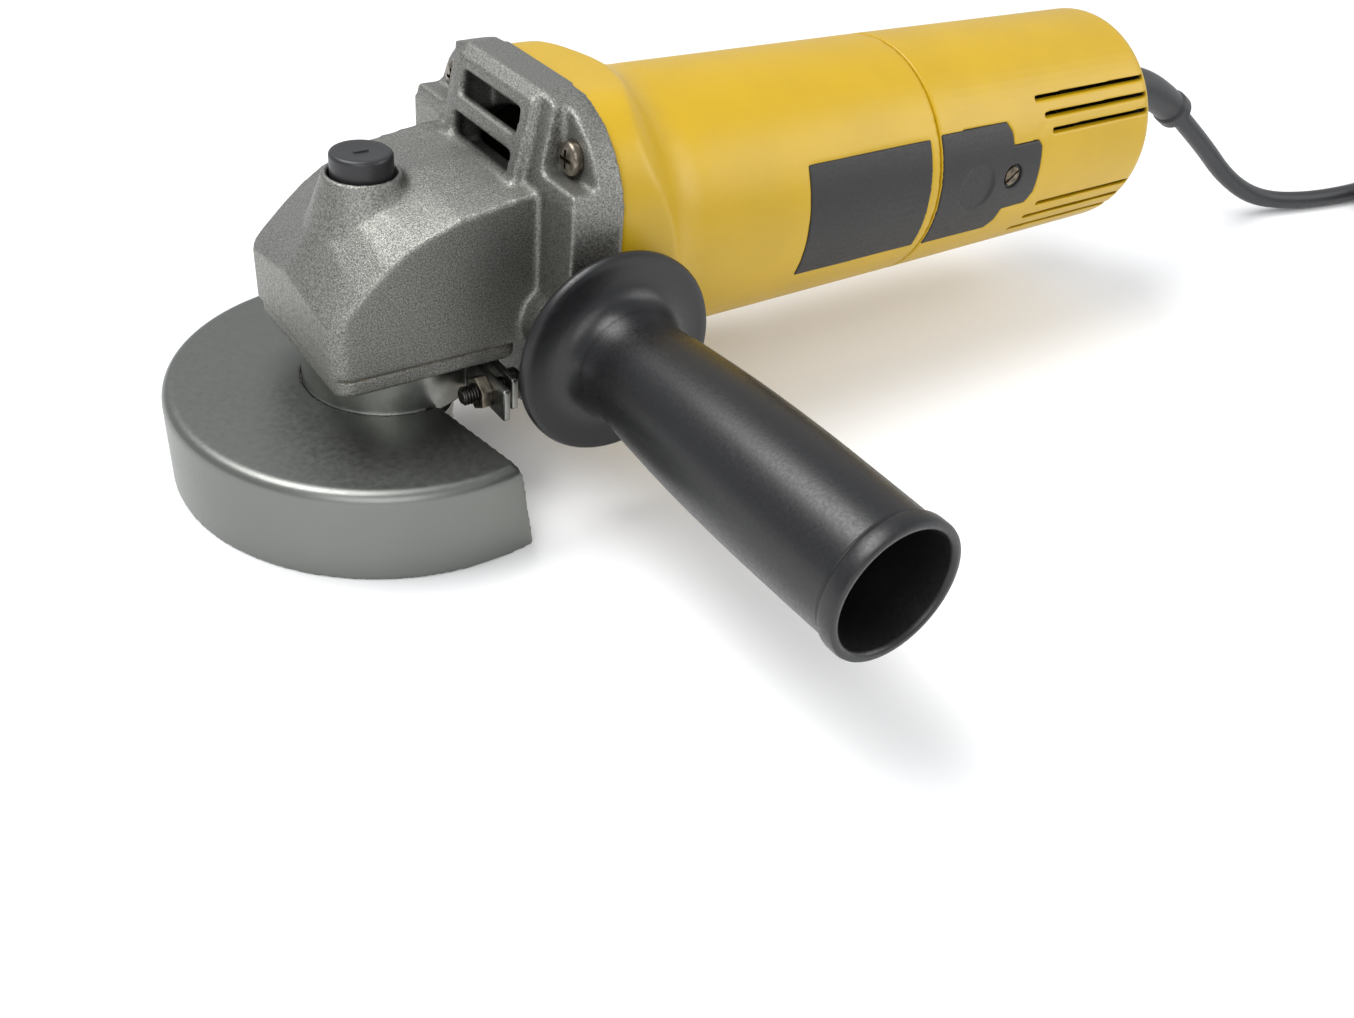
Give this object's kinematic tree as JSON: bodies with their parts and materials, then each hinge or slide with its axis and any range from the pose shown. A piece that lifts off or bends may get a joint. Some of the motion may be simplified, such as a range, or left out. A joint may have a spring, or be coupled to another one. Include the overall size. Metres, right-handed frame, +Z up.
{
  "type": "angle grinder",
  "caption": "Corded angle grinder with cast gear head, half-round wheel guard, side handle, slide switch and mains cord put away in a coil.",
  "frame": {"origin": "centre of the spindle's lower end face", "axes": "+Z up the spindle, +X along the motor towards the cord, side handle towards -Y"},
  "size_m": [0.598, 0.2138, 0.1018],
  "materials": {
    "cast_aluminium": "shot-blasted die casting",
    "gasket_paper": "pressed paper",
    "zinc_steel": "zinc plated",
    "ground_steel": "ground",
    "gear_steel": "hardened, oiled",
    "guard_steel": "silver baked paint",
    "band_steel": "zinc plated strip",
    "black_steel": "black oxide",
    "black_plastic": "moulded",
    "spring_steel": "drawn wire",
    "bronze": "sintered",
    "black_rubber": "moulded",
    "yellow_plastic": "moulded, fine spark grain",
    "panel_film": "printed film",
    "panel_plastic": "moulded",
    "slotted_steel": "zinc plated",
    "fan_plastic": "glass-filled nylon",
    "lamination_steel": "stacked sheet",
    "copper_winding": "enamelled wire",
    "copper_bar": "turned copper",
    "brass_holder": "drawn",
    "carbon": "pressed carbon",
    "capacitor_case": "cast resin box",
    "white_nylon": "moulded",
    "lead_insulation": "extruded",
    "cord_rubber": "extruded jacket",
    "plug_plastic": "moulded",
    "brass_pin": "nickel plated",
    "grip_plastic": "moulded"
  },
  "bodies": {
    "root": {"gear_case": "cast_aluminium", "bearing_cover": "cast_aluminium", "cover_gasket": "gasket_paper", "cover_screws": "zinc_steel", "case_screws": "zinc_steel", "lock_spring": "spring_steel", "top_bush": "bronze", "spindle_bearing_outer": "ground_steel", "front_bearing_outer": "ground_steel", "rear_bearing_outer": "ground_steel", "bearing_balls": "ground_steel", "rear_bearing_bush": "black_rubber", "motor_housing": "yellow_plastic", "rear_cover": "yellow_plastic", "side_panels": "panel_film", "brush_covers": "panel_plastic", "brush_cover_screws": "slotted_steel", "fan_baffle": "fan_plastic", "stator_core": "lamination_steel", "field_coils": "copper_winding", "field_screws": "zinc_steel", "brush_holders": "brass_holder", "carbon_brushes": "carbon", "brush_springs": "spring_steel", "switch_body": "black_plastic", "capacitor": "capacitor_case", "terminal_block": "white_nylon", "lead_wires": "lead_insulation", "cord_clamp": "fan_plastic", "cord_clamp_screws": "zinc_steel", "inner_cord": "cord_rubber", "cord_boot": "black_rubber", "cord": "cord_rubber", "cord_coil": "cord_rubber", "plug_body": "plug_plastic", "plug_pins": "brass_pin"},
    "armature": {"armature_shaft": "ground_steel", "armature_core": "lamination_steel", "armature_windings": "copper_winding", "commutator": "copper_bar", "fan": "fan_plastic", "pinion": "gear_steel", "pinion_nut": "zinc_steel", "front_bearing_inner": "ground_steel", "rear_bearing_inner": "ground_steel"},
    "spindle_group": {"spindle": "ground_steel", "crown_gear": "gear_steel", "inner_flange": "ground_steel", "spindle_bearing_inner": "ground_steel"},
    "wheel_nut": {"lock_nut": "ground_steel"},
    "guard": {"guard_shell": "guard_steel", "guard_band": "band_steel", "clamp_screw": "black_steel", "clamp_nut": "zinc_steel"},
    "spindle_lock": {"lock_cap": "black_plastic", "lock_pin": "ground_steel"},
    "switch_slider": {"switch_button": "black_plastic", "switch_rod": "fan_plastic"},
    "side_handle": {"handle_grip": "grip_plastic", "handle_stud": "zinc_steel"}
  },
  "joints": [
    {"name": "armature_spin", "type": "hinge", "parent": "root", "child": "armature", "pos_m": [0.1, 0, 0.0586], "axis": [1, 0, 0], "continuous": true},
    {"name": "spindle_spin", "type": "hinge", "parent": "root", "child": "spindle_group", "pos_m": [0, 0, 0.03], "axis": [0, 0, 1], "continuous": true},
    {"name": "lock_nut_unscrew", "type": "slide", "parent": "spindle_group", "child": "wheel_nut", "axis": [0, 0, -1], "range_m": [0, 0.01]},
    {"name": "guard_turn", "type": "hinge", "parent": "root", "child": "guard", "pos_m": [0, 0, 0.024], "axis": [0, 0, 1], "range_deg": [-45, 8]},
    {"name": "spindle_lock_press", "type": "slide", "parent": "root", "child": "spindle_lock", "axis": [0, 0, -1], "range_m": [0, 0.004], "stiffness_N_per_m": 600, "springref_m": -0.003, "deforming": ["lock_spring"]},
    {"name": "switch_slide", "type": "slide", "parent": "root", "child": "switch_slider", "axis": [-1, 0, 0], "range_m": [0, 0.006]},
    {"name": "side_handle_unscrew", "type": "slide", "parent": "root", "child": "side_handle", "axis": [0, -1, 0], "range_m": [0, 0.012]}
  ],
  "couplings": [
    {"joint": "spindle_spin", "follows": "armature_spin", "ratio": 0.33333}
  ]
}
